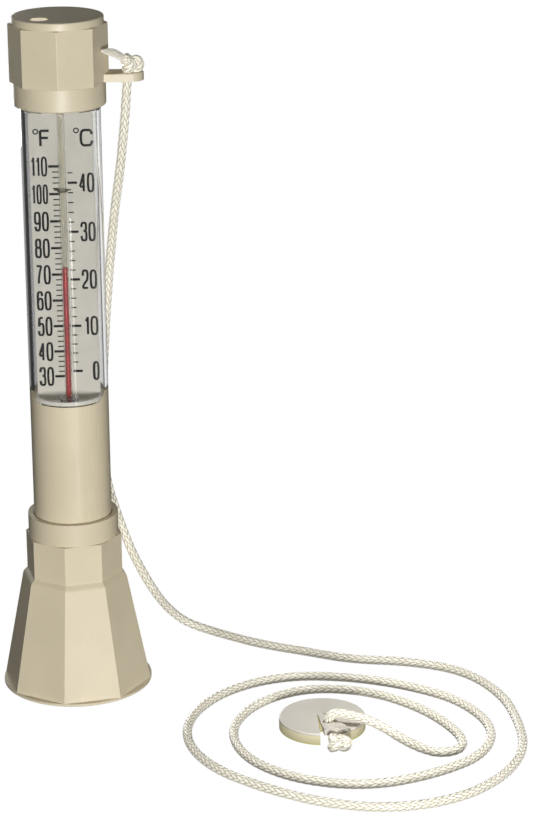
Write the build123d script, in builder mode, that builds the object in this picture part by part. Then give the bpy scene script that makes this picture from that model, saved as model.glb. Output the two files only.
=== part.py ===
from build123d import *
import os
from math import cos, pi, radians, sin, tan

# Floating pool thermometer: a clear gauge tube over a beige tube, an octagonal screw cap with a
# cord lug, a weighted octagonal base, and a braided tether that ends in a round tag.
# Millimetres. +Z is up, the tube's axis is Z, the scale faces -Y, the cord lug points to +X, and
# the foot stands on Z = 0 with the origin in the middle of the base cover's underside.

os.makedirs("parts", exist_ok=True)

# ---- Driving dimensions -------------------------------------------------------------------------
overall_height = 235.0
tube_radius = 13.35
tube_wall = 1.6
cord_diameter = 3.2

# Base, from the floor up
octagon_sides = 8
base_turn = -9.3
rim_radius = 25.8
rim_height = 1.0
rim_edge = 0.3
skirt_foot_radius = 25.8
skirt_head_radius = 18.2
skirt_top = 39.6
neck_radius = 16.75
neck_bottom = 41.0
neck_top = 54.8
collar_radius = 15.45
collar_top = 62.6
collar_mouth = 0.4
base_wall = 2.0
cavity_top = 34.0
sleeve_radius = 15.3
sleeve_bottom = 9.5
socket_bottom = 11.1
socket_radius = tube_radius + 0.1
sleeve_hole_radius = 12.0
corner_round = 0.5
skirt_shoulder_round = 2.4

# Base cover, ballast and the plug under the tube
cover_radius = 22.2
cover_thickness = 2.9
cover_seat = 3.0
pad_top = 4.4
pad_radius = 20.4
ballast_top = 20.0
ballast_foot_radius = 21.0
ballast_head_radius = 18.1
ballast_bore = 15.7
plug_bottom = 11.2
plug_flange_top = 14.0
plug_top = 22.0
tube_bottom = 15.0

# Window: the joint between the two tubes, and the clear tube's neck
joint_level = 104.4
joint_cheek_level = 107.6
scoop_half_width = 12.0
scoop_corner = 3.2
shoulder_level = 208.0
neck_outer_radius = 12.3
neck_bore = 9.3
neck_rim = 229.5
ceiling_round = 2.4
ceiling_level = 206.2

# Coupler sleeve inside both tubes
bore_radius = tube_radius - tube_wall
coupler_radius = bore_radius - 0.05
coupler_bore = 10.85
coupler_bottom = 86.0
coupler_top = 105.7
coupler_floor = 103.2
coupler_floor_thickness = 1.6
coupler_round = 2.2

# Cap
cap_bottom = 205.6
cap_skirt_radius = 15.3
cap_skirt_top = 213.2
cap_body_radius = 15.15
cap_edge = 0.55
grip_radius = 16.4
grip_top = 232.4
grip_round = 0.4
cap_ceiling = 231.2
cap_clearance = 0.35
cap_step_level = 209.2
vent_x = -5.7
vent_y = -7.1
vent_radius = 2.9
vent_depth = 1.6
vent_hole_radius = 0.9

# Cord lug on the cap
lug_bottom = 213.3
lug_top = 216.0
lug_half_width = 4.1
lug_end = 27.8
lug_hole_x = 22.4
lug_hole_radius = 1.8
lug_round = 0.4

# Card and thermometer stem. The scale opens a little towards the warm end, because the spirit
# swells faster when it is warm: height = zero + slope * degrees F + bend * degrees F squared.
card_half_width = 10.7
card_front = -1.0
card_thickness = 0.7
card_bottom = 103.3
card_top = 204.4
card_corner = 3.0
card_notch_half_width = 3.1
card_notch_top = 104.7
tab_half_width = 6.0
tab_top = 213.0
scale_zero = 85.8
scale_slope = 0.853
scale_bend = 0.000425
reading = 73.0
stem_y = -2.4
stem_radius = 1.25
stem_bore = 0.95
stem_bottom = 97.0
stem_top = 226.0
bore_top = 222.0
bulb_radius = 2.3
bulb_wall = 0.7
bulb_bottom = 84.0
bulb_neck = 3.0
spirit_gap = 0.04
meniscus_height = 0.6
tie_degrees = 101.5
tie_wire = 0.25

# Tether tag
disc_x = 83.3
disc_y = -46.3
disc_turn = 16.0
disc_radius = 14.6
disc_thickness = 4.0
disc_edge = 0.5
tongue_root = 1.8
tongue_hole_out = 6.4
tongue_hole_radius = 2.1
tongue_tip_top = 5.7
tongue_tip_bottom = 3.5
tongue_web_out = 4.0
slot_root_half_width = 1.3
slot_tip_half_width = 6.0
tongue_root_half_width = 0.9
tongue_tip_half_width = 4.3
knot_out = 18.2


def scale_height(degrees_f):
    """Height of a temperature on the scale."""
    return scale_zero + scale_slope * degrees_f + scale_bend * degrees_f**2


def skirt_radius_at(height):
    """Corner radius of the base skirt at a height."""
    rise = (height - rim_height) / (skirt_top - rim_height)
    return skirt_foot_radius + rise * (skirt_head_radius - skirt_foot_radius)


def octagon_prism(radius, bottom, top, turn=0.0):
    """Octagonal prism about Z between two heights."""
    with BuildSketch(Plane.XY.offset(bottom)) as outline:
        RegularPolygon(radius, octagon_sides, rotation=turn)
    extrude(outline.sketch, amount=top - bottom)


def round_bar(radius, bottom, top, mode=Mode.ADD):
    """Round bar about Z between two heights."""
    with BuildSketch(Plane.XY.offset(bottom)) as outline:
        Circle(radius)
    extrude(outline.sketch, amount=top - bottom, mode=mode)


def ring(outer, inner, bottom, top):
    """Flat ring about Z between two heights."""
    with BuildSketch(Plane.XY.offset(bottom)) as outline:
        Circle(outer)
        Circle(inner, mode=Mode.SUBTRACT)
    extrude(outline.sketch, amount=top - bottom)


def scoop():
    """Rounded opening in the lower tube's rim, as a sketch in the XZ plane."""
    with BuildSketch(Plane.XZ) as opening:
        with Locations((0, joint_level + scoop_half_width)):
            Rectangle(2 * scoop_half_width, 2 * scoop_half_width)
        fillet(opening.vertices().group_by(Axis.Y)[0], scoop_corner)
    return opening.sketch


def save(builder, name):
    """Label a finished piece and write its STEP file."""
    builder.part.label = name
    export_step(builder.part, f"parts/{name}.step")


# ---- Base ---------------------------------------------------------------------------------------
with BuildPart() as base:
    with BuildSketch(Plane.XY.offset(rim_height)):
        RegularPolygon(skirt_foot_radius, octagon_sides, rotation=base_turn)
    with BuildSketch(Plane.XY.offset(skirt_top)):
        RegularPolygon(skirt_head_radius, octagon_sides, rotation=base_turn)
    loft()
    with BuildSketch(Plane.XY.offset(skirt_top)):
        RegularPolygon(skirt_head_radius, octagon_sides, rotation=base_turn)
    with BuildSketch(Plane.XY.offset(neck_bottom)):
        RegularPolygon(neck_radius, octagon_sides, rotation=base_turn)
    loft()
    octagon_prism(neck_radius, neck_bottom, neck_top, base_turn)
    shoulder_edges = base.edges().filter_by_position(Axis.Z, skirt_top - 0.01, skirt_top + 0.01)
    fillet(shoulder_edges, skirt_shoulder_round)
    fillet(base.edges().filter_by(Axis.Z), corner_round)
    round_bar(collar_radius, neck_top, collar_top)
    round_bar(rim_radius, 0, rim_height)
    fillet(base.edges().filter_by(GeomType.CIRCLE).sort_by(Axis.Z)[0], rim_edge)
    # Hollow skirt, with the socket sleeve left standing in it
    with BuildSketch(Plane.XY.offset(cover_seat)):
        foot_size = skirt_radius_at(cover_seat) * cos(pi / octagon_sides) - base_wall
        RegularPolygon(foot_size, octagon_sides, major_radius=False, rotation=base_turn)
    with BuildSketch(Plane.XY.offset(cavity_top)):
        head_size = skirt_radius_at(cavity_top) * cos(pi / octagon_sides) - base_wall
        RegularPolygon(head_size, octagon_sides, major_radius=False, rotation=base_turn)
    loft(mode=Mode.SUBTRACT)
    round_bar(cover_radius + 0.1, 0, cover_seat, mode=Mode.SUBTRACT)
    round_bar(sleeve_radius, sleeve_bottom, cavity_top)
    round_bar(sleeve_hole_radius, sleeve_bottom, socket_bottom, mode=Mode.SUBTRACT)
    round_bar(socket_radius, socket_bottom, collar_top, mode=Mode.SUBTRACT)
    mouth = base.edges().filter_by(GeomType.CIRCLE).group_by(Axis.Z)[-1].sort_by(SortBy.LENGTH)[0]
    chamfer(mouth, collar_mouth)
save(base, "base")

with BuildPart() as base_cover:
    round_bar(cover_radius, 0, cover_thickness)
    chamfer(base_cover.edges().group_by(Axis.Z)[0], 0.4)
save(base_cover, "base_cover")

with BuildPart() as ballast_pad:
    ring(pad_radius, ballast_bore, cover_thickness, pad_top)
save(ballast_pad, "ballast_pad")

with BuildPart() as ballast_ring:
    with BuildSketch(Plane.XZ):
        with BuildLine():
            Polyline(
                (ballast_bore, pad_top),
                (ballast_foot_radius, pad_top),
                (ballast_head_radius, ballast_top),
                (ballast_bore, ballast_top),
                close=True,
            )
        make_face()
    revolve(axis=Axis.Z)
    chamfer(ballast_ring.edges().group_by(Axis.Z)[-1].sort_by(SortBy.LENGTH)[-1], 0.6)
save(ballast_ring, "ballast_ring")

# ---- Lower tube and what closes its foot ----------------------------------------------------------
with BuildPart() as tube_end_plug:
    round_bar(tube_radius - 0.05, plug_bottom, plug_flange_top)
    round_bar(coupler_radius, plug_flange_top, plug_top)
    round_bar(coupler_radius - tube_wall, plug_flange_top + tube_wall, plug_top, mode=Mode.SUBTRACT)
save(tube_end_plug, "tube_end_plug")

with BuildPart() as end_gasket:
    ring(tube_radius - 0.1, coupler_radius + 0.05, plug_flange_top, tube_bottom)
save(end_gasket, "end_gasket")

with BuildPart() as lower_tube:
    ring(tube_radius, bore_radius, tube_bottom, joint_cheek_level)
    extrude(scoop(), amount=2 * tube_radius, both=True, mode=Mode.SUBTRACT)
save(lower_tube, "lower_tube")

# ---- Clear tube -----------------------------------------------------------------------------------
with BuildPart() as clear_tube:
    with BuildSketch(Plane.XZ):
        with BuildLine():
            Polyline(
                (neck_bore, ceiling_level),
                (neck_bore, neck_rim),
                (neck_outer_radius, neck_rim),
                (neck_outer_radius, shoulder_level),
                (tube_radius, shoulder_level),
                (tube_radius, joint_level),
                (bore_radius, joint_level),
                (bore_radius, ceiling_level - ceiling_round),
            )
            CenterArc((bore_radius - ceiling_round, ceiling_level - ceiling_round), ceiling_round, 0, 90)
            Line((bore_radius - ceiling_round, ceiling_level), (neck_bore, ceiling_level))
        make_face()
    revolve(axis=Axis.Z)
    # Room for the lower tube's two cheeks
    with BuildPart(mode=Mode.PRIVATE) as cheeks:
        with Locations((0, 0, joint_cheek_level - scoop_half_width)):
            Box(4 * tube_radius, 4 * tube_radius, 2 * scoop_half_width)
        extrude(scoop(), amount=2 * tube_radius, both=True, mode=Mode.SUBTRACT)
    add(cheeks.part, mode=Mode.SUBTRACT)
save(clear_tube, "clear_tube")

with BuildPart() as tube_coupler:
    ring(coupler_radius, coupler_bore, coupler_bottom, coupler_top)
    round_bar(coupler_bore, coupler_floor - coupler_floor_thickness, coupler_floor)
    inner_corner = (
        tube_coupler.edges()
        .filter_by(GeomType.CIRCLE)
        .filter_by_position(Axis.Z, coupler_floor - 0.1, coupler_floor + 0.1)
    )
    fillet(inner_corner, coupler_round)
    with Locations(Location((0, stem_y, coupler_floor))):
        Hole(bulb_radius + 0.1, depth=2 * coupler_floor_thickness)
save(tube_coupler, "tube_coupler")

# ---- Cap, its gasket and the vent plug -------------------------------------------------------------
with BuildPart() as cap:
    round_bar(cap_skirt_radius, cap_bottom, cap_skirt_top)
    fillet(cap.edges().group_by(Axis.Z)[0], cap_edge)
    round_bar(cap_body_radius, cap_skirt_top, overall_height)
    fillet(cap.edges().group_by(Axis.Z)[-1], cap_edge)
    with BuildPart(mode=Mode.PRIVATE) as grip:
        octagon_prism(grip_radius, cap_skirt_top, grip_top)
        fillet(grip.edges().filter_by(Axis.Z), grip_round)
    add(grip.part)
    with BuildPart(mode=Mode.PRIVATE) as lug:
        with BuildSketch(Plane.XY.offset(lug_bottom)):
            with Locations((lug_end - lug_half_width, 0)):
                Circle(lug_half_width)
            with Locations(((lug_end - lug_half_width + cap_body_radius - 1) / 2, 0)):
                Rectangle(lug_end - lug_half_width - cap_body_radius + 1, 2 * lug_half_width)
        extrude(amount=lug_top - lug_bottom)
        fillet(lug.faces().sort_by(Axis.Z)[-1].edges().filter_by(GeomType.CIRCLE), lug_round)
    add(lug.part)
    with Locations(Location((lug_hole_x, 0, lug_top))):
        Hole(lug_hole_radius, depth=2 * (lug_top - lug_bottom))
    round_bar(tube_radius + cap_clearance, cap_bottom, cap_step_level, mode=Mode.SUBTRACT)
    round_bar(neck_outer_radius + cap_clearance, cap_step_level, cap_ceiling, mode=Mode.SUBTRACT)
    with Locations(Location((vent_x, vent_y, overall_height))):
        CounterBoreHole(vent_hole_radius, vent_radius + 0.05, vent_depth, depth=2 * cap_edge + 6)
save(cap, "cap")

with BuildPart() as vent_plug:
    with Locations((vent_x, vent_y, overall_height - vent_depth / 2)):
        Cylinder(vent_radius, vent_depth)
    fillet(vent_plug.edges().group_by(Axis.Z)[-1], 0.3)
    with Locations((vent_x, vent_y, overall_height - vent_depth - 0.9)):
        Cylinder(vent_hole_radius - 0.05, 1.8)
save(vent_plug, "vent_plug")

with BuildPart() as cap_gasket:
    ring(neck_outer_radius, neck_bore + 1.0, neck_rim + 0.05, cap_ceiling - 0.05)
save(cap_gasket, "cap_gasket")

# ---- Card, holder and stem --------------------------------------------------------------------------
card_plane = Plane(origin=(0, card_front, 0), x_dir=(1, 0, 0), z_dir=(0, -1, 0))
with BuildPart() as scale_card:
    with BuildSketch(card_plane):
        with Locations((0, (card_bottom + card_top) / 2)):
            RectangleRounded(2 * card_half_width, card_top - card_bottom, card_corner)
        with Locations((0, (card_bottom + tab_top) / 2)):
            Rectangle(2 * tab_half_width, tab_top - card_bottom)
        with Locations((0, card_notch_top - scoop_half_width)):
            Rectangle(2 * card_notch_half_width, 2 * scoop_half_width, mode=Mode.SUBTRACT)
    extrude(amount=-card_thickness)
save(scale_card, "scale_card")

with BuildPart() as card_holder:
    round_bar(neck_bore - 0.1, ceiling_level + 0.8, ceiling_level + 3.3)
    with Locations((0, card_front + card_thickness / 2, ceiling_level + 2)):
        Box(2 * tab_half_width + 0.3, card_thickness + 0.3, 8, mode=Mode.SUBTRACT)
    with Locations((0, stem_y, ceiling_level + 2)):
        Cylinder(stem_radius + 0.15, 8, mode=Mode.SUBTRACT)
save(card_holder, "card_holder")

stem_plane = Plane(origin=(0, stem_y, 0), x_dir=(1, 0, 0), z_dir=(0, -1, 0))
stem_axis = Axis((0, stem_y, 0), (0, 0, 1))
with BuildPart() as glass_stem:
    with BuildSketch(stem_plane):
        with BuildLine():
            Polyline(
                (0, bore_top + stem_bore),
                (stem_bore, bore_top),
                (stem_bore, stem_bottom),
                (stem_radius, stem_bottom),
                (stem_radius, stem_top - stem_radius),
            )
            CenterArc((0, stem_top - stem_radius), stem_radius, 0, 90)
            Line((0, stem_top), (0, bore_top + stem_bore))
        make_face()
    revolve(axis=stem_axis)
save(glass_stem, "glass_stem")


def bulb_outline(radius, mouth_radius, bottom):
    """Right half of a bulb, from its round foot to its mouth under the stem."""
    shoulder = stem_bottom - bulb_neck
    CenterArc((0, bottom + radius), radius, -90, 90)
    Line((radius, bottom + radius), (radius, shoulder))
    Line((radius, shoulder), (mouth_radius, stem_bottom))


with BuildPart() as glass_bulb:
    with BuildSketch(stem_plane):
        with BuildLine():
            bulb_outline(bulb_radius, stem_radius, bulb_bottom)
            Line((stem_radius, stem_bottom), (0, stem_bottom))
            Line((0, stem_bottom), (0, bulb_bottom))
        make_face()
        with BuildLine():
            bulb_outline(bulb_radius - bulb_wall, stem_bore, bulb_bottom + bulb_wall)
            Line((stem_bore, stem_bottom), (0, stem_bottom))
            Line((0, stem_bottom), (0, bulb_bottom + bulb_wall))
        make_face(mode=Mode.SUBTRACT)
    revolve(axis=stem_axis)
save(glass_bulb, "glass_bulb")

spirit_radius = stem_bore - spirit_gap
spirit_bottom = bulb_bottom + bulb_wall + spirit_gap
with BuildPart() as spirit_reservoir:
    with BuildSketch(stem_plane):
        with BuildLine():
            bulb_outline(bulb_radius - bulb_wall - spirit_gap, spirit_radius, spirit_bottom)
            Line((spirit_radius, stem_bottom), (0, stem_bottom))
            Line((0, stem_bottom), (0, spirit_bottom))
        make_face()
    revolve(axis=stem_axis)
save(spirit_reservoir, "spirit_reservoir")

spirit_level = scale_height(reading)
with BuildPart() as spirit_column:
    with BuildSketch(stem_plane.shift_origin((0, stem_y, stem_bottom))):
        with Locations((spirit_radius / 2, (spirit_level - meniscus_height - stem_bottom) / 2)):
            Rectangle(spirit_radius, spirit_level - meniscus_height - stem_bottom)
    revolve(axis=stem_axis)
save(spirit_column, "spirit_column")

with BuildPart() as spirit_meniscus:
    with Locations((0, stem_y, spirit_level - meniscus_height / 2)):
        Cylinder(spirit_radius, meniscus_height)
    fillet(spirit_meniscus.edges().group_by(Axis.Z)[-1], meniscus_height / 2)
save(spirit_meniscus, "spirit_meniscus")

tie_reach = stem_radius + tie_wire + 0.05
tie_back = card_front - tie_wire - 0.02
with BuildPart() as stem_tie:
    with BuildLine(Plane.XY.offset(scale_height(tie_degrees))) as tie_path:
        FilletPolyline(
            (-tie_reach - 1.3, tie_back),
            (-tie_reach, tie_back),
            (-tie_reach, stem_y - tie_reach),
            (tie_reach, stem_y - tie_reach),
            (tie_reach, tie_back),
            (tie_reach + 1.3, tie_back),
            radius=[0.35, 1.4, 1.4, 0.35],
        )
    with BuildSketch(Plane(origin=tie_path.line @ 0, z_dir=tie_path.line % 0)):
        Circle(tie_wire)
    sweep()
save(stem_tie, "stem_tie")

with BuildPart() as stem_grommet:
    with Locations(Location((0, stem_y, coupler_floor - coupler_floor_thickness / 2 - 0.1))):
        Cylinder(bulb_radius, coupler_floor_thickness + 0.4)
    with Locations(Location((0, stem_y, coupler_floor + 0.6))):
        Cylinder(bulb_radius + 0.6, 1.2)
    fillet(stem_grommet.edges().group_by(Axis.Z)[-1], 0.5)
    with Locations(Location((0, stem_y, coupler_floor))):
        Cylinder(stem_radius + 0.03, 12, mode=Mode.SUBTRACT)
save(stem_grommet, "stem_grommet")

with BuildPart() as stem_cushion:
    with Locations(Location((0, stem_y, (stem_top + cap_ceiling) / 2 - 1.0))):
        Cylinder(stem_radius + 1.0, cap_ceiling - stem_top + 1.2)
    fillet(stem_cushion.edges().group_by(Axis.Z)[-1], 0.5)
    with BuildSketch(stem_plane):
        with BuildLine():
            Polyline((0, 0), (stem_radius + 0.03, 0), (stem_radius + 0.03, stem_top - stem_radius))
            CenterArc((0, stem_top - stem_radius), stem_radius + 0.03, 0, 90)
            Line((0, stem_top + 0.03), (0, 0))
        make_face()
    revolve(axis=stem_axis, mode=Mode.SUBTRACT)
save(stem_cushion, "stem_cushion")

# ---- Tether tag ------------------------------------------------------------------------------------
turn = radians(disc_turn)
disc_plane = Plane(origin=(disc_x, disc_y, 0), x_dir=(cos(turn), sin(turn), 0), z_dir=(0, 0, 1))
# The side plane looks along the tag's own width: its x runs out along the tongue, its y is up.
tongue_side = Plane(
    origin=(disc_x, disc_y, 0),
    x_dir=(sin(turn), -cos(turn), 0),
    z_dir=(-cos(turn), -sin(turn), 0),
)


def wedge(root_half_width, tip_half_width, root, tip):
    """Tapered outline that widens along the tongue, as a sketch in the tag's plane."""
    with BuildSketch(disc_plane) as outline:
        Polygon(
            (-root_half_width, root),
            (root_half_width, root),
            (tip_half_width, -tip),
            (-tip_half_width, -tip),
            align=None,
        )
    return outline.sketch


with BuildPart() as tether_disc:
    with BuildSketch(disc_plane):
        Circle(disc_radius)
    extrude(amount=disc_thickness)
    fillet(tether_disc.edges().group_by(Axis.Z)[-1], disc_edge)
    slot = wedge(slot_root_half_width, slot_tip_half_width, tongue_root, disc_radius + 1)
    extrude(slot, amount=2 * disc_thickness, mode=Mode.SUBTRACT)
    with BuildPart(mode=Mode.PRIVATE) as tongue:
        with BuildSketch(tongue_side):
            with BuildLine():
                Polyline(
                    (-tongue_root - 1.0, 0),
                    (tongue_web_out, 0),
                    (tongue_web_out + 0.6, tongue_tip_bottom - 0.1),
                    (disc_radius, tongue_tip_bottom),
                    (disc_radius, tongue_tip_top),
                    (-tongue_root - 1.0, disc_thickness - 0.15),
                    close=True,
                )
            make_face()
        extrude(amount=disc_radius, both=True)
        blade = wedge(tongue_root_half_width, tongue_tip_half_width, tongue_root + 1, disc_radius)
        extrude(blade, amount=4 * disc_thickness, mode=Mode.INTERSECT)
        with BuildSketch(disc_plane):
            Circle(disc_radius)
        extrude(amount=4 * disc_thickness, mode=Mode.INTERSECT)
    add(tongue.part)
    with BuildSketch(disc_plane):
        with Locations((0, -tongue_hole_out)):
            Circle(tongue_hole_radius)
    extrude(amount=4 * disc_thickness, mode=Mode.SUBTRACT)
save(tether_disc, "tether_disc")

# ---- Cord, knots and sealed tail ---------------------------------------------------------------------
cord_radius = cord_diameter / 2
hole_point = disc_plane.from_local_coords(Vector(0, -tongue_hole_out, 0))
cord_join = 3.4
route = [
    (lug_hole_x, 0, lug_top),
    (21.9, 0.4, 200),
    (20, 3.2, 182),
    (17.1, 9.4, 164),
    (14.6, 14.6, 145),
    (12.6, 17.8, 124),
    (11.1, 19.2, 102),
    (10.1, 19.8, 82),
    (11.4, 20, 65.5),
    (15.8, 20.1, 50),
    (20.6, 20.8, 36),
    (27.2, 23.4, 22),
    (32.2, 30, 12.4),
    (38.2, 35, 5),
    (46.6, 34.4, 1.8),
    (55.5, 27.8, 1.6),
    (66, 20.4, 1.6),
    (80.5, 13.5, 1.6),
    (97, 5.2, 1.6),
    (116, 2.6, 1.6),
    (135.5, -6.5, 1.6),
    (146.5, -27, 1.6),
    (149.5, -49, 1.6),
    (149, -71.5, 1.6),
    (139.5, -91.5, 1.6),
    (123, -106.5, 1.6),
    (101, -112, 1.6),
    (79.5, -106.5, 1.6),
    (61, -94.5, 1.6),
    (45, -79, 1.6),
    (36.5, -58, 1.6),
    (39.5, -36, 1.6),
    (52.5, -17.5, 1.6),
    (72.5, -7.5, 1.6),
    (94.5, -9.5, 1.6),
    (115.5, -18.5, 1.6),
    (132, -32, 1.6),
    (141, -54, 1.6),
    (135, -75, 1.6),
    (116.5, -88.5, 1.6),
    (95.5, -95.5, 1.6),
    (73.5, -90, 1.6),
    (57, -74.5, 1.6),
    (51.5, -52.5, 1.6),
    (59.5, -31.5, 1.6),
    (78, -18, 1.6),
    (100.5, -21.5, 1.6),
    (117, -36, 1.6),
    (126.5, -52.5, 1.6),
    (129.6, -64, 1.6),
    (127, -70.8, 1.6),
    (120.3, -72.6, 1.6),
    (114.6, -68.4, 1.6),
    (109, -62, 2),
    (103.4, -57.4, 4.2),
    (97.8, -55.2, 6.4),
    (92.4, -54, 7.6),
    (87.7, -52.9, 8.2),
    (hole_point.X, hole_point.Y, 6.4),
    (hole_point.X, hole_point.Y, cord_join),
]


def corner_radii(points):
    """Largest easy arc at each corner: 0.45 of the shorter run over the tangent of half the turn."""
    radii = []
    for before, here, after in zip(points, points[1:], points[2:]):
        arriving = Vector(*here) - Vector(*before)
        leaving = Vector(*after) - Vector(*here)
        half_turn = radians(arriving.get_angle(leaving)) / 2
        radii.append(0.45 * min(arriving.length, leaving.length) / tan(half_turn))
    return radii


bend_radii = corner_radii(route)
with BuildPart() as cord:
    with BuildLine() as cord_path:
        FilletPolyline(*route, radius=bend_radii)
    with BuildSketch(Plane(origin=cord_path.line @ 0, z_dir=cord_path.line % 0)):
        Circle(cord_radius)
    sweep()
save(cord, "cord")
cord_length = cord_path.wires()[0].length
print("cord length", round(cord_length, 1), "radii", [round(r, 1) for r in bend_radii])
print("cord volume over section times length", cord.part.volume / (pi * cord_radius**2 * cord_length))

with BuildPart() as cord_end:
    with BuildLine() as end_path:
        knot_entry = disc_plane.from_local_coords(Vector(0, -knot_out + 2.6, cord_radius + 0.05))
        FilletPolyline(
            hole_point + Vector(0, 0, cord_join - 0.05),
            hole_point + Vector(0, 0, cord_radius + 0.05),
            knot_entry,
            radius=cord_radius + 0.05,
        )
    with BuildSketch(Plane(origin=end_path.line @ 0, z_dir=end_path.line % 0)):
        Circle(cord_radius)
    sweep()
save(cord_end, "cord_end")


def knot(centre, heading):
    """Plain stand-in for a pulled-tight knot: two crossed coils of cord round a core."""
    for tilt, shift in ((-32, -0.5), (32, 0.5)):
        with Locations(Location((centre.X + shift, centre.Y, centre.Z), (tilt, 0, heading))):
            Torus(2.3, cord_radius - 0.05)
    with Locations(centre):
        Sphere(2.3)


with BuildPart() as upper_knot:
    knot(Vector(23.7, 0, lug_top + 2.8), 20)
    with Locations((23.7, 0, lug_top + 5)):
        Box(12, 12, 10, mode=Mode.INTERSECT)
save(upper_knot, "upper_knot")

with BuildPart() as lower_knot:
    knot_centre = disc_plane.from_local_coords(Vector(0.4, -knot_out, 2.8))
    knot(knot_centre, disc_turn)
    with Locations((knot_centre.X, knot_centre.Y, 5)):
        Box(12, 12, 10, mode=Mode.INTERSECT)
    add(cord_end.part, mode=Mode.SUBTRACT)
save(lower_knot, "lower_knot")

# The tail leaves the knot flat, because heat has sealed and pressed it.
tail_root = Vector(22.0, -1.6, lug_top + 4.2)
tail_tip = Vector(14.4, -8.8, lug_top + 8.6)
tail_run = tail_tip - tail_root
tail_across = Vector(0, 0, 1).cross(tail_run)
with BuildPart() as cord_tail:
    with BuildSketch(Plane(origin=tail_root, z_dir=tail_run, x_dir=tail_across)):
        RectangleRounded(3.0, 2.2, 1.0)
    with BuildSketch(Plane(origin=tail_root + tail_run / 2, z_dir=tail_run, x_dir=tail_across)):
        RectangleRounded(3.8, 1.5, 0.7)
    with BuildSketch(Plane(origin=tail_tip, z_dir=tail_run, x_dir=tail_across)):
        RectangleRounded(2.6, 0.9, 0.4)
    loft()
    add(upper_knot.part, mode=Mode.SUBTRACT)
save(cord_tail, "cord_tail")
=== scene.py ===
from math import ceil, cos, floor, pi, radians, sin, sqrt

import bmesh
import bpy
from mathutils import Matrix, Vector, noise


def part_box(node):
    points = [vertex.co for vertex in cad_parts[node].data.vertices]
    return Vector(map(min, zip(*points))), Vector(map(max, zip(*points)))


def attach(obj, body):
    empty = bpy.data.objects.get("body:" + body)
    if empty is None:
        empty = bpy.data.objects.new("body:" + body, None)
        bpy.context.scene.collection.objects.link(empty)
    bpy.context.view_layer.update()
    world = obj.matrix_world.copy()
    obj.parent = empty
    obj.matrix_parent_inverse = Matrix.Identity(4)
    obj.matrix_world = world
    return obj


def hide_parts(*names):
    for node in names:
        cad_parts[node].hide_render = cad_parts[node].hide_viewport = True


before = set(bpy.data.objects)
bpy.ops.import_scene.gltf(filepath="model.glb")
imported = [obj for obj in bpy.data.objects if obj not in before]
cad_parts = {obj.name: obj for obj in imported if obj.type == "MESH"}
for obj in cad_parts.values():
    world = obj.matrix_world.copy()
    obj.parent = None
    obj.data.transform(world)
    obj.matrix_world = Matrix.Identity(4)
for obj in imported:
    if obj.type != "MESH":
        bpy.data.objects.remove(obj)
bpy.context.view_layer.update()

# Floating pool thermometer. Metres; the tube's axis is Z, the scale faces -Y and the lug points
# to +X, as in the frame. Patterns and small sizes below are written in millimetres times MM.
MM = 0.001
CARD_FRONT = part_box("scale_card")[0][1]
CORD_RADIUS = 1.6 * MM


# ---- Patterns: one class for a socket, one for a finish -----------------------------------------
class Field:
    """A value over a surface; arithmetic on it adds Math nodes."""

    def __init__(self, finish, socket):
        self.finish = finish
        self.socket = socket

    def math(self, operation, *others):
        operands = dict(enumerate((self, *others)))
        return self.finish.node("Math", {"operation": operation}, operands)

    def swapped(self, operation, other):
        return self.finish.node("Math", {"operation": operation}, {0: other, 1: self})

    def __add__(self, other):
        return self.math("ADD", other)

    __radd__ = __add__

    def __sub__(self, other):
        return self.math("SUBTRACT", other)

    def __rsub__(self, other):
        return self.swapped("SUBTRACT", other)

    def __mul__(self, other):
        return self.math("MULTIPLY", other)

    __rmul__ = __mul__

    def __truediv__(self, other):
        return self.math("DIVIDE", other)

    def __rtruediv__(self, other):
        return self.swapped("DIVIDE", other)

    def __pow__(self, other):
        return self.math("POWER", other)

    def __mod__(self, other):
        return self.math("FLOORED_MODULO", other)


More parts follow.
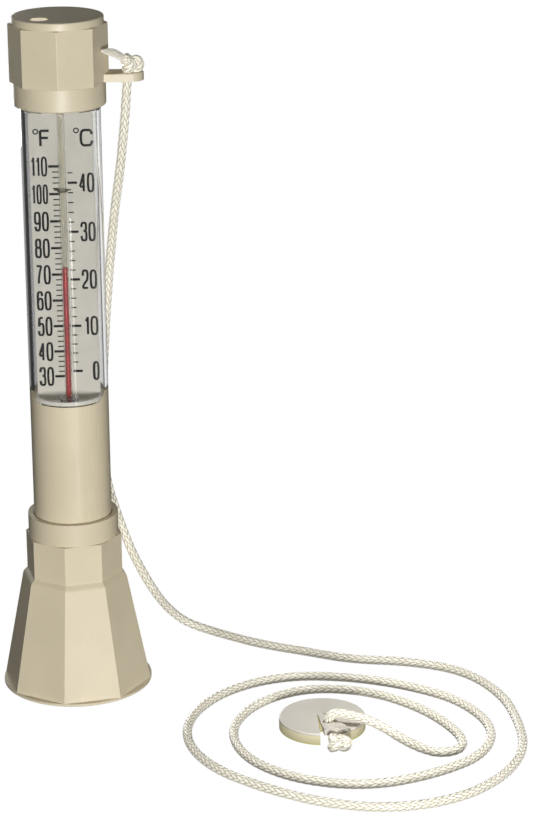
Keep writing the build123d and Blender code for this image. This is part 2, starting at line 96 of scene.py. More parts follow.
class Finish:
    """A node tree with a Principled surface, and one method that makes any other node."""

    def __init__(self, name, owner=None, **values):
        self.owner = owner or bpy.data.materials.new(name)
        self.owner.use_nodes = True
        self.tree = self.owner.node_tree
        self.tree.nodes.clear()
        self.values = values

    def node(self, kind, settings=None, inputs=None, out=0):
        made = self.tree.nodes.new("ShaderNode" + kind)
        for name, value in (settings or {}).items():
            setattr(made, name, value)
        for key, value in (inputs or {}).items():
            if isinstance(value, Field):
                self.tree.links.new(value.socket, made.inputs[key])
            else:
                made.inputs[key].default_value = value
        return Field(self, made.outputs[out])

    def place(self, stretch=(1, 1, 1)):
        """Object coordinates, stretched."""
        where = self.node("TexCoord", out="Object")
        return self.node("Mapping", {}, {"Vector": where, "Scale": stretch})

    def grain(self, scale, detail=2.0, where=None, stretch=(1, 1, 1)):
        """Noise from 0 to 1, about 0.5, with features of 1 / scale metres."""
        where = where or self.place(stretch)
        inputs = {"Vector": where, "Scale": scale, "Detail": detail}
        return self.node("TexNoise", {}, inputs)

    def step(self, value, low, high, start=0.0, end=1.0):
        """Smooth step from start to end as a value goes from low to high."""
        inputs = {0: value, 1: low, 2: high, 3: start, 4: end}
        return self.node("MapRange", {"interpolation_type": "SMOOTHSTEP"}, inputs)

    def blend(self, share, first, second):
        """Colour that goes from first to second."""
        settings = {"data_type": "RGBA"}
        return self.node("Mix", settings, {0: share, 6: first, 7: second}, out=2)

    def bump(self, height, distance, strength=1.0, under=None):
        inputs = {"Height": height, "Distance": distance, "Strength": strength}
        if under:
            inputs["Normal"] = under
        return self.node("Bump", {}, inputs)

    def surface(self, **fields):
        """The Principled surface: fixed values from the finish, fields over the surface."""
        inputs = {**self.values, **fields}
        inputs = {name.replace("_", " "): value for name, value in inputs.items()}
        return self.node("BsdfPrincipled", {}, inputs)

    def output(self, shader):
        end = self.tree.nodes.new("ShaderNodeOutputMaterial")
        self.tree.links.new(shader.socket, end.inputs["Surface"])
        return self.owner


def shade(red, green, blue):
    """Linear colour from the usual 0 to 255 values."""
    return (*(((v / 255 + 0.055) / 1.055) ** 2.4 for v in (red, green, blue)), 1.0)


def moulded_plastic(name, colour, roughness=0.38, scuff_top=0.0, painted_emission=0.0):
    """Injection-moulded plastic: faint clouding, orange peel, a few specks, a scuffed foot, and
    painted light given off in its own colour where painted_emission is above 0.
    """
    # Emission in the plastic's own colour is painted light: it brightens the piece, though it is no
    # lamp.
    finish = Finish(
        name, IOR=1.5, Specular_IOR_Level=0.45, Emission_Color=colour, Emission_Strength=painted_emission
    )
    cloud = finish.grain(45.0, 3.0)
    speck = finish.step(finish.grain(1100.0, 1.0), 0.775, 0.79)
    peel = finish.grain(1300.0, 3.0)
    deep = tuple(0.93 * c for c in colour[:3]) + (1.0,)
    tint = finish.blend(finish.step(cloud, 0.3, 0.7), deep, colour)
    tint = finish.blend(speck * 0.3, tint, shade(96, 88, 72))
    gloss = roughness + 0.1 * (cloud - 0.5) + 0.08 * (peel - 0.5)
    if scuff_top:
        height = finish.node("SeparateXYZ", {}, {0: finish.node("TexCoord", out="Object")}, out=2)
        near_foot = finish.step(height, scuff_top, 0.0)
        scuff = near_foot * finish.step(finish.grain(700.0, 4.0, stretch=(1, 1, 3)), 0.5, 0.62)
        tint = finish.blend(scuff * 0.3, tint, shade(236, 229, 210))
        gloss = gloss + 0.2 * scuff
    normal = finish.bump(peel, 0.02 * MM, 0.35)
    return finish.output(finish.surface(Base_Color=tint, Roughness=gloss, Normal=normal))


def extruded_plastic(name, colour):
    """Drawn tube: faint die lines along the length and light handling marks round it."""
    finish = Finish(name, IOR=1.5, Specular_IOR_Level=0.55)
    lines = finish.grain(2200.0, 2.0, stretch=(1, 1, 0.004))
    marks = finish.grain(260.0, 4.0, stretch=(1, 1, 0.5))
    cloud = finish.grain(35.0, 2.0)
    deep = tuple(0.94 * c for c in colour[:3]) + (1.0,)
    tint = finish.blend(finish.step(cloud, 0.3, 0.7), deep, colour)
    gloss = 0.26 + 0.1 * (marks - 0.5) + 0.08 * (lines - 0.5)
    normal = finish.bump(lines + 0.4 * marks, 0.01 * MM, 0.3)
    return finish.output(finish.surface(Base_Color=tint, Roughness=gloss, Normal=normal))


def lets_light_through(finish, surface):
    """Clear pieces cast no full shadow, so the card behind them is lit."""
    for ray in ("Is Shadow Ray", "Is Diffuse Ray"):
        passing = finish.node("LightPath", out=ray)
        open_air = finish.node("BsdfTransparent", {}, {"Color": (0.93, 0.93, 0.92, 1.0)})
        surface = finish.node("MixShader", {}, {0: passing, 1: surface, 2: open_air})
    return finish.output(surface)


def clear_plastic(name, tint, ior, scratches):
    """Water-clear plastic or glass with faint rubbing marks."""
    finish = Finish(name, IOR=ior, Transmission_Weight=1.0)
    rub = finish.step(finish.grain(900.0, 5.0, stretch=(1, 1, 0.06)), 0.55, 0.75)
    haze = finish.grain(60.0, 2.0)
    colour = finish.blend(haze, tint, (0.985, 0.985, 0.98, 1.0))
    normal = finish.bump(rub, 0.004 * MM, 0.05 * scratches)
    gloss = 0.01 + 0.05 * scratches * rub
    surface = finish.surface(Base_Color=colour, Roughness=gloss, Normal=normal)
    return lets_light_through(finish, surface)


def plain_finish(name, low, high, roughness, scale, relief, stretch=(1, 1, 1), **values):
    """Two shades in a grain, with the grain's own relief."""
    finish = Finish(name, **values)
    grain = finish.grain(scale, 4.0, stretch=stretch)
    tint = finish.blend(finish.step(grain, 0.3, 0.7), low, high)
    normal = finish.bump(grain, relief * MM, 0.6)
    gloss = roughness + 0.12 * (grain - 0.5)
    return finish.output(finish.surface(Base_Color=tint, Roughness=gloss, Normal=normal))


STRANDS = 8  # in each direction round the cord
PITCH = 2.6 * MM  # along the cord from one strand to the next


def weave_height(around, along):
    """Height from 0 to 1 of a two-over, two-under braid, from strand counts round and along."""
    left, right = around + along, around - along
    left_strand, right_strand = floor(left), floor(right)
    over_left = (left_strand + right_strand) % 4 < 2
    if over_left:
        across = left - left_strand - 0.5
        run = ((right + left_strand) % 4) / 2
    else:
        across = right - right_strand - 0.5
        run = ((left + right_strand) % 4 - 2) / 2
    crown = sqrt(max(0.0, 1 - 3.4 * across * across))
    return crown * (0.35 + 0.65 * sqrt(max(0.0, sin(pi * run))))


def braided_nylon(name, sealed=False):
    """White nylon braid: silky strands that cross two over and two under, with fibre lines, painted
    shade between the strands and painted light given off in its own colour.
    """
    # Emission in the braid's own colour is painted light standing in for light bounced from the floor;
    # the darker dips give off less.
    finish = Finish(
        name, Sheen_Weight=0.3, Sheen_Roughness=0.4, IOR=1.53, Sheen_Tint=(1, 1, 1, 1),
        Emission_Strength=0.2,
    )
    plan = finish.node("UVMap", {"uv_map": "braid"})
    around = finish.node("SeparateXYZ", {}, {0: plan}, out=0)
    along = finish.node("SeparateXYZ", {}, {0: plan}, out=1)
    left, right = around + along, around - along
    left_strand, right_strand = left.math("FLOOR"), right.math("FLOOR")
    turn = (left_strand + right_strand) % 4.0
    right_over = turn.math("GREATER_THAN", 1.5)
    left_over = 1 - right_over
    across = left_over * (left - left_strand - 0.5) + right_over * (right - right_strand - 0.5)
    run = left_over * ((right + left_strand) % 4.0) / 2.0
    run = run + right_over * (((left + right_strand) % 4.0) - 2.0) / 2.0
    crown = (1 - 3.4 * across * across).math("MAXIMUM", 0.0) ** 0.5
    dive = ((run * pi).math("SINE")).math("MAXIMUM", 0.0) ** 0.5
    height = crown * (0.35 + 0.65 * dive)
    fibres = (across * (2 * pi * 7)).math("SINE")
    strand = {0: left_over * left_strand, 1: right_over * right_strand}
    own = finish.node("CombineXYZ", {}, strand)
    lot = finish.node("TexWhiteNoise", {}, {0: own})
    fuzz = finish.grain(2600.0, 3.0)
    # Painted shade: where the strands dip, the colour goes darker than at their crests; the
    # heat-sealed cord, with shallow dips, goes less dark.
    depth = finish.step(height, 0.15, 0.9)
    painted_groove_shade, crest = shade(122, 112, 80), shade(244, 240, 226)
    if sealed:
        painted_groove_shade = shade(198, 190, 168)
    tint = finish.blend(depth, painted_groove_shade, crest)
    tint = finish.blend(0.3 * lot + 0.2 * (fuzz - 0.5), tint, shade(196, 188, 164))
    weave = finish.bump(height, (0.03 if sealed else 0.14) * MM, 0.7)
    normal = finish.bump(fibres * 0.5 + fuzz, 0.03 * MM, 0.5, under=weave)
    gloss = 0.36 - 0.1 * depth + 0.12 * (fuzz - 0.5)
    return finish.output(
        finish.surface(Base_Color=tint, Roughness=gloss, Normal=normal, Emission_Color=tint)
    )


def tag_plastic(name, upper, side, foot):
    """Moulded tag: greyer on top and yellower at the side, shades painted as each face is lit;
    yellow-green towards the lower edge; painted light given off by the side and lower edge.
    """
    finish = Finish(name, IOR=1.5, Specular_IOR_Level=0.4, Emission_Strength=0.2)
    height = finish.node("SeparateXYZ", {}, {0: finish.node("TexCoord", out="Object")}, out=2)
    cloud = finish.step(finish.grain(60.0, 3.0), 0.3, 0.7)
    peel = finish.grain(1300.0, 3.0)
    # Painted light and shade: the top takes the upper colour and the side the side colour, as the two
    # faces of one plastic are lit differently.
    on_top = finish.step(height, 3.0 * MM, 3.35 * MM)
    near_foot = finish.step(height, 0.7 * MM, 0.2 * MM)
    wall = finish.blend(near_foot, side, foot)
    tint = finish.blend(cloud * 0.12, finish.blend(on_top, wall, upper), shade(150, 142, 122))
    # Painted light: the side and lower edge give off light in their own colour, the top none.
    painted_emission = finish.blend(on_top, wall, (0.0, 0.0, 0.0, 1.0))
    normal = finish.bump(peel, 0.02 * MM, 0.35)
    gloss = 0.34 + 0.1 * (peel - 0.5)
    return finish.output(
        finish.surface(Base_Color=tint, Roughness=gloss, Normal=normal, Emission_Color=painted_emission)
    )


def dress(nodes, material):
    """Give CAD nodes their finish, in their own slot."""
    for name in nodes.split():
        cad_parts[name].data.materials[0] = material


BEIGE = shade(219, 207, 178)
tube_finish = extruded_plastic("drawn_beige_tube", BEIGE)
base_finish = moulded_plastic("moulded_beige_base", BEIGE, 0.42, scuff_top=4 * MM)
cap_finish = moulded_plastic("moulded_beige_cap", shade(217, 206, 178), 0.4)
# The vent plug gives off strong painted light, so it reads as a brightly lit pale oval.
plug_finish = moulded_plastic("vent_plug_painted_light", shade(238, 226, 196), 0.35, painted_emission=0.62)
# Tag colours for top, side and lower edge; top and side are painted as each face is lit.
tag_finish = tag_plastic(
    "moulded_tag", shade(212, 207, 196), shade(222, 213, 176), shade(204, 204, 118)
)
inner_finish = moulded_plastic("moulded_inner_parts", shade(232, 230, 222), 0.45)
dress("base base_cover", base_finish)
dress("lower_tube", tube_finish)
dress("cap", cap_finish)
dress("vent_plug", plug_finish)
dress("tether_disc", tag_finish)
dress("tube_end_plug card_holder", inner_finish)
# The coupler gives off faint painted light, which brightens it where it shows through the clear tube.
dress("tube_coupler", moulded_plastic("frosted_coupler_painted_light", shade(216, 214, 206), 0.16, painted_emission=0.12))
dress("clear_tube", clear_plastic("clear_drawn_tube", (0.93, 0.935, 0.925, 1), 1.49, 1.0))
dress("glass_stem glass_bulb", clear_plastic("stem_glass", (0.95, 0.94, 0.9, 1), 1.47, 0.1))
vinyl_finish = clear_plastic("clear_soft_vinyl", (0.9, 0.9, 0.86, 1), 1.42, 2.0)
dress("stem_grommet stem_cushion", vinyl_finish)
card_finish = plain_finish(
    "card_stock", shade(207, 203, 194), shade(215, 211, 202), 0.6, 180.0, 0.01,
    Specular_IOR_Level=0.12,
)
dress("scale_card", card_finish)
spirit_finish = plain_finish(
    "red_spirit", shade(146, 12, 16), shade(170, 24, 28), 0.35, 300.0, 0.001, IOR=1.36
)
dress("spirit_column spirit_meniscus spirit_reservoir", spirit_finish)
wire_finish = plain_finish(
    "tie_wire", shade(70, 62, 48), shade(118, 104, 80), 0.35, 900.0, 0.01, Metallic=0.9
)
dress("stem_tie", wire_finish)
rubber_finish = plain_finish("seal_rubber", shade(28, 28, 28), shade(44, 43, 41), 0.7, 800.0, 0.03)
dress("cap_gasket end_gasket", rubber_finish)
iron_finish = plain_finish(
    "cast_iron", shade(66, 62, 58), shade(98, 92, 86), 0.6, 700.0, 0.08, Metallic=0.8
)
dress("ballast_ring", iron_finish)
felt_finish = plain_finish("pad_felt", shade(92, 90, 86), shade(138, 134, 126), 0.95, 1500.0, 0.15)
dress("ballast_pad", felt_finish)
braid_finish = braided_nylon("braided_nylon")
sealed_finish = braided_nylon("heat_sealed_nylon", sealed=True)
ink_finish = plain_finish(
    "black_ink", shade(3, 3, 3), shade(14, 14, 13), 0.6, 600.0, 0.002, Specular_IOR_Level=0.05
)
enamel_finish = plain_finish(
    "cream_enamel", shade(112, 106, 86), shade(132, 126, 104), 0.4, 250.0, 0.005, (1, 1, 0.05)
)


# ---- Making pieces ------------------------------------------------------------------------------
def piece_from(shape, name, material, body, stands_for=()):
    """Turn a finished bmesh into a piece that rides on a body."""
    bmesh.ops.recalc_face_normals(shape, faces=shape.faces)
    mesh = bpy.data.meshes.new(name)
    shape.to_mesh(mesh)
    shape.free()
    mesh.materials.append(material)
    piece = bpy.data.objects.new(name, mesh)
    bpy.context.collection.objects.link(piece)
    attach(piece, body)
    if stands_for:
        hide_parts(*stands_for)
    return piece


def smooth_line(control_points, resolution=24):
    """Points along the smooth NURBS line of some control points."""
    curve = bpy.data.curves.new("line", "CURVE")
    curve.dimensions = "3D"
    curve.resolution_u = resolution
    spline = curve.splines.new("NURBS")
    spline.points.add(len(control_points) - 1)
    for slot, point in zip(spline.points, control_points):
        slot.co = (*point, 1.0)
    spline.order_u = 3
    spline.use_endpoint_u = True
    spline.resolution_u = resolution
    holder = bpy.data.objects.new("line", curve)
    mesh = bpy.data.meshes.new_from_object(holder)
    points = [vertex.co.copy() for vertex in mesh.vertices]
    bpy.data.objects.remove(holder)
    bpy.data.curves.remove(curve)
    bpy.data.meshes.remove(mesh)
    return points


def evenly(points, gap):
    """The same line at equal steps of about a gap, with its length."""
    reach = [0.0]
    for before, after in zip(points, points[1:]):
        reach.append(reach[-1] + (after - before).length)
    count = max(2, ceil(reach[-1] / gap))
    even, at = [], 0
    for number in range(count + 1):
        wanted = reach[-1] * number / count
        while at < len(points) - 2 and reach[at + 1] < wanted:
            at += 1
        share = (wanted - reach[at]) / max(reach[at + 1] - reach[at], 1e-9)
        even.append(points[at].lerp(points[at + 1], min(1.0, share)))
    return even, reach[-1]


def frames_along(line):
    """Side and up directions that turn as little as possible along a line."""
    ahead, behind = [*line[1:], line[-1]], [line[0], *line[:-1]]
    runs = [(after - before).normalized() for before, after in zip(behind, ahead)]
    side = runs[0].orthogonal().normalized()
    frames = []
    for run in runs:
        side = (side - run * side.dot(run)).normalized()
        frames.append((side, run.cross(side)))
    return frames


SIDES = 32  # round a braid
RING_GAP = 0.33 * MM  # from one ring of points to the next
BRAID_RELIEF = 0.38 * MM


def braided_piece(name, points, body, material, stands_for, section=None):
    """A braid wrapped round a line. section(share) gives half width, half thickness, relief and
    the direction of the width, where it isn't the plain round cord."""
    line, length = evenly(points, RING_GAP)
    rings = len(line) - 1
    frames = frames_along(line)
    shape = bmesh.new()
    plan = shape.loops.layers.uv.new("braid")
    bmesh.ops.create_grid(shape, x_segments=SIDES, y_segments=rings, size=1.0, calc_uvs=False)
    counts = STRANDS, length / PITCH
    for face in shape.faces:
        for loop in face.loops:
            x, y, _ = loop.vert.co
            loop[plan].uv = ((x + 1) / 2 * counts[0], (y + 1) / 2 * counts[1])
    for vertex in shape.verts:
        turn, ring = (vertex.co.x + 1) / 2, round((vertex.co.y + 1) / 2 * rings)
        share = ring / rings
        wide, thick, relief, across = CORD_RADIUS, CORD_RADIUS, BRAID_RELIEF, None
        if section:
            wide, thick, relief, across = section(share)
        side, up = frames[ring]
        if across:
            run = side.cross(up)
            side = (across - run * across.dot(run)).normalized()
            up = run.cross(side)
        angle = 2 * pi * turn
        sunk = relief * (1 - weave_height((turn % 1.0) * counts[0], share * counts[1]))
        where = Vector((share * length * 90, 2 * cos(angle), 2 * sin(angle)))
        slack = 1 + 0.035 * noise.noise(where)
        out = side * cos(angle) * (wide * slack - sunk) + up * sin(angle) * (thick * slack - sunk)
        vertex.co = line[ring] + out
    bmesh.ops.remove_doubles(shape, verts=shape.verts, dist=0.001 * MM)
    bmesh.ops.holes_fill(shape, edges=[e for e in shape.edges if e.is_boundary], sides=0)
    for face in shape.faces:
        face.smooth = len(face.verts) == 4
    return piece_from(shape, name, material, body, stands_for)


# ---- Tether -------------------------------------------------------------------------------------
def metres(points):
    return [Vector(point) * MM for point in points]


route = metres([
    (22.4, 0, 216), (21.9, 0.2, 208), (20.9, 0.9, 197), (19.1, 3.4, 182), (16.5, 9.4, 164),
    (14.5, 14.6, 145), (12.6, 17.8, 124), (11.1, 19.2, 102), (10.1, 19.8, 82), (11.4, 20, 65.5),
    (15.8, 20.1, 50),
    (20.6, 20.8, 36), (27.2, 23.4, 22), (32.2, 30, 12.4), (38.2, 35, 5), (46.6, 34.4, 1.8),
    (55.5, 27.8, 1.6), (66, 20.4, 1.6), (80.5, 13.5, 1.6), (97, 5.2, 1.6), (116, 2.6, 1.6),
    (135.5, -6.5, 1.6), (146.5, -27, 1.6), (149.5, -49, 1.6), (149, -71.5, 1.6), (139.5, -91.5, 1.6),
    (123, -106.5, 1.6), (101, -112, 1.6), (79.5, -106.5, 1.6), (61, -94.5, 1.6), (45, -79, 1.6),
    (36.5, -58, 1.6), (39.5, -36, 1.6), (52.5, -17.5, 1.6), (72.5, -7.5, 1.6), (94.5, -9.5, 1.6),
    (115.5, -18.5, 1.6), (132, -32, 1.6), (141, -54, 1.6), (135, -75, 1.6), (116.5, -88.5, 1.6),
    (95.5, -95.5, 1.6), (73.5, -90, 1.6), (57, -74.5, 1.6), (51.5, -52.5, 1.6), (59.5, -31.5, 1.6),
    (78, -18, 1.6), (100.5, -21.5, 1.6), (117, -36, 1.6), (126.5, -52.5, 1.6), (129.6, -64, 1.6),
    (127, -70.8, 1.6), (120.3, -72.6, 1.6), (114.6, -68.4, 1.6), (109, -62, 2), (103.4, -57.4, 4.2),
    (97.8, -55.2, 6.4), (92.4, -54, 7.6), (87.7, -52.9, 8.2), (85.06, -52.45, 6.4),
    (85.06, -52.45, 3.4),
])
tether_line = smooth_line(route)
tether = braided_piece("tether_cord", tether_line, "screw_cap", braid_finish, ["cord"])

# The same cord turned down through the tag's hole and out under its tongue
TAG = Matrix.Translation(metres([(83.3, -46.3, 0)])[0]) @ Matrix.Rotation(radians(16), 4, "Z")
under_tag = metres([(0, -6.4, 3.5), (0, -6.4, 1.7), (0, -8.6, 1.65), (0, -15.6, 1.65)])
under_tag = [TAG @ point for point in under_tag]
under_tongue = braided_piece(
    "tether_under_tongue", smooth_line(under_tag), "tag", braid_finish, ["cord_end"]
)

# Overhand knot, flat: which way each crossing goes is in the third number
OVERHAND = [
    (2.3, -0.2, -1), (2.9, 1.7, 0), (1.1, 2.3, 1), (-0.9, 0.5, 0), (-1.4, -2.1, -1), (0, -3.3, 0),
    (1.4, -2.1, 1), (0.9, 0.5, 0), (-1.1, 2.3, -1), (-2.9, 1.7, 0), (-2.3, -0.2, 1),
]


def knot_line(centre, turns, size, first, last):
    """Line of a pulled-tight overhand knot between the cord's way in and its way out."""
    place = Matrix.Translation(centre)
    for angle, axis in turns:
        place = place @ Matrix.Rotation(radians(angle), 4, axis)
    stretch = Matrix.Diagonal((*size, 1.0))
    loops = [place @ (stretch @ Vector(point) * MM) for point in OVERHAND]
    return smooth_line([*first, *loops, *last])


def knot_section(share):
    """Strands pressed together in the knot."""
    return 1.75 * MM, 1.6 * MM, 0.3 * MM, None


tail_root, tail_tip = metres([(21.6, -2.0, 220.4), (14.4, -8.8, 224.6)])
lug_knot_line = knot_line(
    metres([(23.9, 0.0, 218.5)])[0],
    [(20, "Z"), (28, "X"), (75, "Z")],
    (1.0, 0.85, 1.2),
    metres([(22.4, 0, 215.6), (22.4, 0, 217.6)]),
    [tail_root.lerp(tail_tip, -0.12), tail_root.lerp(tail_tip, 0.06)],
)
lug_knot = braided_piece(
    "lug_knot", lug_knot_line, "screw_cap", braid_finish, ["upper_knot"], section=knot_section
)
knot_middle = TAG @ metres([(-1.2, -19.6, 2.85)])[0]
tag_knot_line = knot_line(
    knot_middle,
    [(16, "Z"), (12, "X"), (190, "Z")],
    (1.04, 0.92, 0.95),
    [TAG @ p for p in metres([(0, -14.6, 1.65), (0, -16.8, 1.8)])],
    [TAG @ p for p in metres([(-2.2, -16.6, 2.4)])],
)
tag_knot = braided_piece(
    "tag_knot", tag_knot_line, "tag", braid_finish, ["lower_knot"], section=knot_section
)


def tail_section(share):
    """Round in the knot, then pressed flat by heat and drawn to a thin, torn end."""
    flat = min(1.0, share / 0.35)
    taper = max(0.0, (share - 0.45) / 0.55)
    wide = 1.35 + 0.6 * flat - 1.35 * taper**1.6
    thick = 1.25 - 0.55 * flat - 0.4 * taper
    across = (tail_tip - tail_root).cross(Vector((0.35, -0.6, 0.75)))
    return wide * MM, thick * MM, (0.2 - 0.15 * flat) * MM, across


tail_rise = Vector((0.0, 0.0, 0.9 * MM))
tail_line = smooth_line([
    tail_root.lerp(tail_tip, -0.08), tail_root.lerp(tail_tip, 0.3) + tail_rise,
    tail_root.lerp(tail_tip, 0.65) + 0.6 * tail_rise, tail_tip,
])
sealed_tail = braided_piece(
    "sealed_tail", tail_line, "screw_cap", sealed_finish, ["cord_tail"], section=tail_section
)

# ---- Printing on the card -----------------------------------------------------------------------
INK_FRONT = CARD_FRONT - 0.03 * MM
INK_BACK = CARD_FRONT + 0.02 * MM


def height_of(degrees_f):
    """Height of a temperature on the scale."""
    return (85.8 + 0.853 * degrees_f + 0.000425 * degrees_f**2) * MM


def bar(shape, left, right, height, thickness):
    """One scale mark, as a thin printed block."""
    size = Vector((right - left, (INK_BACK - INK_FRONT) / MM, thickness)) * MM
    middle = Vector(((left + right) / 2 * MM, (INK_FRONT + INK_BACK) / 2, height))
    place = Matrix.Translation(middle) @ Matrix.Diagonal((*size, 1.0))
    bmesh.ops.create_cube(shape, size=1.0, matrix=place)


# Centre lines of the figures and letters, in a box from 0 to 1 each way
STROKES = {
    "0": [
        [
            (0.5, 1), (0.14, 1), (-0.02, 0.74), (-0.02, 0.26), (0.14, 0), (0.5, 0), (0.86, 0),
            (1.02, 0.26), (1.02, 0.74), (0.86, 1), (0.5, 1),
        ],
    ],
    "1": [[(0.0, 0.76), (0.5, 0.86), (0.75, 1)], [(0.75, 1), (0.75, 0)]],
    "2": [
        [
            (0.02, 0.7), (0.03, 0.94), (0.2, 1), (0.5, 1), (0.84, 1), (0.98, 0.88), (0.97, 0.66),
            (0.9, 0.45), (0.12, 0.2), (0, 0),
        ],
        [(0, 0), (1, 0)],
    ],
    "3": [
        [
            (0.02, 0.76), (0.1, 1), (0.5, 1), (0.86, 1), (0.96, 0.88), (0.96, 0.66), (0.82, 0.54),
            (0.4, 0.54),
        ],
        [(0.4, 0.54), (0.86, 0.54), (1, 0.42), (1, 0.14), (0.86, 0), (0.5, 0), (0.1, 0), (0, 0.25)],
    ],
    "4": [[(0.74, 0), (0.74, 1)], [(0.74, 1), (0, 0.27)], [(0, 0.27), (1, 0.27)]],
    "5": [
        [(0.92, 1), (0.2, 1)],
        [(0.2, 1), (0.08, 0.5)],
        [
            (0.08, 0.5), (0.24, 0.64), (0.56, 0.66), (0.88, 0.64), (1, 0.48), (1, 0.16), (0.86, 0),
            (0.5, 0), (0.1, 0), (0, 0.24),
        ],
    ],
    "6": [
        [
            (0.94, 0.78), (0.86, 1), (0.5, 1), (0.12, 1), (0, 0.74), (0, 0.5), (0, 0.24), (0.12, 0),
            (0.5, 0), (0.88, 0), (1, 0.18), (1, 0.44), (0.86, 0.62), (0.52, 0.62), (0.16, 0.62),
            (0.02, 0.4),
        ],
    ],
    "7": [[(0, 1), (1, 1)], [(1, 1), (0.42, 0.6), (0.34, 0)]],
    "8": [
        [
            (0.5, 0.54), (0.16, 0.55), (0.07, 0.67), (0.07, 0.87), (0.18, 1), (0.5, 1), (0.82, 1),
            (0.93, 0.87), (0.93, 0.67), (0.84, 0.55), (0.5, 0.54),
        ],
        [
            (0.5, 0.54), (0.14, 0.54), (0, 0.42), (0, 0.14), (0.14, 0), (0.5, 0), (0.86, 0), (1, 0.14),
            (1, 0.42), (0.86, 0.54), (0.5, 0.54),
        ],
    ],
    "F": [[(0, 0), (0, 1)], [(0, 1), (1, 1)], [(0, 0.53), (0.9, 0.53)]],
    "C": [
        [
            (1, 0.72), (0.9, 1), (0.54, 1), (0.16, 1), (0, 0.78), (0, 0.5), (0, 0.22), (0.16, 0),
            (0.54, 0), (0.92, 0), (1, 0.3),
        ],
    ],
}
STROKES["9"] = [[(1 - x, 1 - y) for x, y in line] for line in STROKES["6"]]
NARROW = {"1": 0.5}


def lettering(shape, text, left, right, bottom, top, weight):
    """Condensed characters that fill a box on the card, drawn with a round pen of a weight."""
    pen = weight / 2
    widths = [NARROW.get(letter, 1.0) for letter in text]
    spare = 0.3 + weight
    unit = (right - left - weight - spare * (len(text) - 1)) / sum(widths)
    curve = bpy.data.curves.new("letters", "CURVE")
    curve.dimensions = "3D"
    curve.bevel_depth = pen
    curve.bevel_resolution = 2
    curve.use_fill_caps = True
    at = left + pen
    for letter, width in zip(text, widths):
        for line in STROKES[letter]:
            spline = curve.splines.new("NURBS")
            spline.points.add(len(line) - 1)
            for slot, (x, y) in zip(spline.points, line):
                height = bottom + pen + y * (top - bottom - weight)
                slot.co = (at + x * width * unit, 0, height, 1.0)
            spline.order_u = min(3, len(line))
            spline.use_endpoint_u = True
            spline.resolution_u = 6
        at += width * unit + spare
    holder = bpy.data.objects.new("letters", curve)
    mesh = bpy.data.meshes.new_from_object(holder)
    flat = (INK_BACK - INK_FRONT) / (2 * pen)
    forward = Matrix.Translation((0, (INK_FRONT + INK_BACK) / 2, 0))
    mesh.transform(forward @ Matrix.Diagonal((MM, flat, MM, 1.0)))
    shape.from_mesh(mesh)
    bpy.data.objects.remove(holder)
    bpy.data.curves.remove(curve)
    bpy.data.meshes.remove(mesh)


def degree_ring(shape, x, height):
    """The small ring of a degree sign."""
    place = Matrix.Translation((x * MM, INK_BACK, height)) @ Matrix.Rotation(radians(90), 4, "X")
    edges = []
    for radius in (0.98 * MM, 0.56 * MM):
        found = bmesh.ops.create_circle(
            shape, cap_ends=False, segments=32, radius=radius, matrix=place
        )
        edges += {edge for vertex in found["verts"] for edge in vertex.link_edges}
    faces = bmesh.ops.bridge_loops(shape, edges=edges)["faces"]
    raised = bmesh.ops.extrude_face_region(shape, geom=faces)["geom"]
    moved = [item for item in raised if isinstance(item, bmesh.types.BMVert)]
    bmesh.ops.translate(shape, verts=moved, vec=(0, INK_FRONT - INK_BACK, 0))


MAJOR_MARK, MINOR_MARK = 0.85, 0.42  # thickness of a mark
marks = bmesh.new()
for degrees in range(30, 111, 2):
    major = degrees % 10 == 0
    left, thickness = (-4.5, MAJOR_MARK) if major else (-3.2, MINOR_MARK)
    bar(marks, left, -1.3, height_of(degrees), thickness)
for degrees in range(0, 43, 2):
    major = degrees % 10 == 0
    right, thickness = (4.85, MAJOR_MARK) if major else (3.45, MINOR_MARK)
    bar(marks, 1.7, right, height_of(32 + 1.8 * degrees), thickness)
piece_from(marks, "scale_marks", ink_finish, "housing")

FIGURE_HALF = 3.4
PEN, NARROW_PEN, LETTER_PEN = 0.76, 0.66, 0.85
figures = bmesh.new()
for degrees in range(30, 111, 10):
    left = -9.85 if degrees < 100 else -10.2
    middle = height_of(degrees) / MM
    low, high = middle - FIGURE_HALF, middle + FIGURE_HALF
    weight = PEN if degrees < 100 else NARROW_PEN
    lettering(figures, str(degrees), left, -4.85, low, high, weight)
for degrees in range(0, 41, 10):
    left = {0: 8.3, 10: 5.95}.get(degrees, 5.4)
    middle = height_of(32 + 1.8 * degrees) / MM
    low, high = middle - FIGURE_HALF, middle + FIGURE_HALF
    lettering(figures, str(degrees), left, 10.5, low, high, PEN)
lettering(figures, "F", -7.2, -3.5, 191.3, 197.3, LETTER_PEN)
lettering(figures, "C", 6.1, 10.6, 191.3, 197.3, LETTER_PEN)
degree_ring(figures, -8.35, 196.6 * MM)
degree_ring(figures, 5.0, 196.8 * MM)
piece_from(figures, "scale_figures", ink_finish, "housing")

# Enamel strip behind the stem
strip = bmesh.new()
strip_foot = 105.5 * MM
strip_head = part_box("glass_stem")[1][2] - 14 * MM
strip_middle = Vector((0, CARD_FRONT - 0.07 * MM, (strip_foot + strip_head) / 2))
strip_size = (2.5 * MM, 0.1 * MM, strip_head - strip_foot, 1.0)
place = Matrix.Translation(strip_middle) @ Matrix.Diagonal(strip_size)
bmesh.ops.create_cube(strip, size=1.0, matrix=place)
piece_from(strip, "enamel_strip", enamel_finish, "housing")

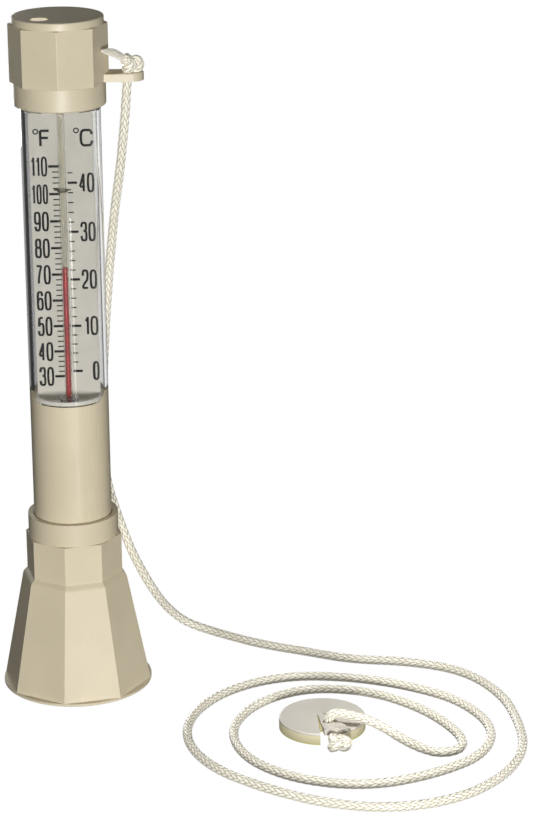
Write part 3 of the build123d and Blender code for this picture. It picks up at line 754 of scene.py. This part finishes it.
# ---- Floor, light and camera --------------------------------------------------------------------
floor_shape = bmesh.new()
bmesh.ops.create_grid(floor_shape, x_segments=1, y_segments=1, size=4.0)
floor_mesh = bpy.data.meshes.new("studio_floor")
floor_shape.to_mesh(floor_mesh)
floor_shape.free()
studio_floor = bpy.data.objects.new("studio_floor", floor_mesh)
studio_floor.location.z = -0.02 * MM
bpy.context.collection.objects.link(studio_floor)
pale = Finish("pale_floor")
# Painted reflection: seen straight on, the floor is evenly white; seen through clear pieces it has
# grey and black sectors round the object, standing in for the dark studio that the clear tube's edges
# show, and rays that bounced diffusely see it black.
through = pale.node("LightPath", out="Is Transmission Ray")
bounced = pale.node("LightPath", out="Diffuse Depth").math("GREATER_THAN", 0.5)
where = pale.node("TexCoord", out="Object")
east = pale.node("SeparateXYZ", {}, {0: where}, out=0)
north = pale.node("SeparateXYZ", {}, {0: where}, out=1)
turned = north.math("ARCTAN2", east) - pi / 2
aside = turned.math("ABSOLUTE")
flank = pale.step(aside, 1.3, 1.1)
left_grey = pale.step(turned, 0.12, 0.3) * flank
left_black = pale.step(turned, 0.42, 0.55) * flank
right_black = pale.step(0 - turned, 0.62, 0.78) * flank
front = pale.step(aside, 1.1, 1.5)
painted_refraction_bands = 0.76 * left_grey + 0.21 * left_black + 0.93 * right_black + 0.45 * front
level = (1 - through * painted_refraction_bands) * (1 - through * bounced)
floor_mesh.materials.append(pale.output(pale.node("Emission", {}, {"Strength": level})))
studio_floor.visible_diffuse = False
studio_floor.visible_glossy = False
studio_floor.visible_shadow = False

world = bpy.data.worlds.new("studio")
bpy.context.scene.world = world
room = Finish("studio", owner=world)
seen = room.node("LightPath", out="Is Camera Ray")
backdrop = room.node("Background", {}, {"Color": (1, 1, 1, 1), "Strength": 0.06 + 0.94 * seen})
room_output = world.node_tree.nodes.new("ShaderNodeOutputWorld")
world.node_tree.links.new(backdrop.socket, room_output.inputs["Surface"])


def lamp(name, kind, place, aim, power, **settings):
    """A lamp that points at a place and isn't seen itself."""
    light = bpy.data.lights.new(name, kind)
    light.energy = power
    for key, value in settings.items():
        setattr(light, key, value)
    holder = bpy.data.objects.new(name, light)
    facing = (Vector(aim) - Vector(place)).to_track_quat("-Z", "Y").to_matrix().to_4x4()
    holder.matrix_world = Matrix.Translation(place) @ facing
    holder.visible_camera = False
    bpy.context.collection.objects.link(holder)
    return holder


lamp("front_softbox", "AREA", (0.15, -1.49, 0.11), (0.0, 0.0, 0.12), 19.5, size=0.3)
lamp(
    "edge_strip", "AREA", (0.18, -0.46, -0.06), (0.0, 0.0, 0.0), 0.11,
    shape="RECTANGLE", size=0.035, size_y=0.2,
)
lamp(
    "table_spot", "SPOT", (0.14, -0.06, 0.62), (0.112, -0.055, 0.0), 12.5,
    spot_size=radians(16.5), spot_blend=0.6, shadow_soft_size=0.05,
)
lamp("top_softbox", "AREA", (0.08, -0.31, 1.15), (0.0, 0.0, 0.1), 1.4, size=0.14)
back_fill = lamp("back_fill", "AREA", (-0.35, 1.3, 0.12), (0.0, 0.0, 0.1), 9.0, size=0.5)
back_fill.visible_transmission = False

camera = bpy.data.objects.new("camera", bpy.data.cameras.new("camera"))
camera.data.lens = 125.0
camera.data.clip_start = 0.05
camera.matrix_world = (
    Matrix.Translation((0.0317, -0.9225, 0.4115))
    @ Matrix.Rotation(radians(-2.2), 4, "Z")
    @ Matrix.Rotation(radians(90 - 18.79), 4, "X")
    @ Matrix.Rotation(radians(-0.498), 4, "Z")
)
bpy.context.collection.objects.link(camera)
bpy.context.scene.camera = camera
bpy.context.scene.view_settings.view_transform = "Standard"
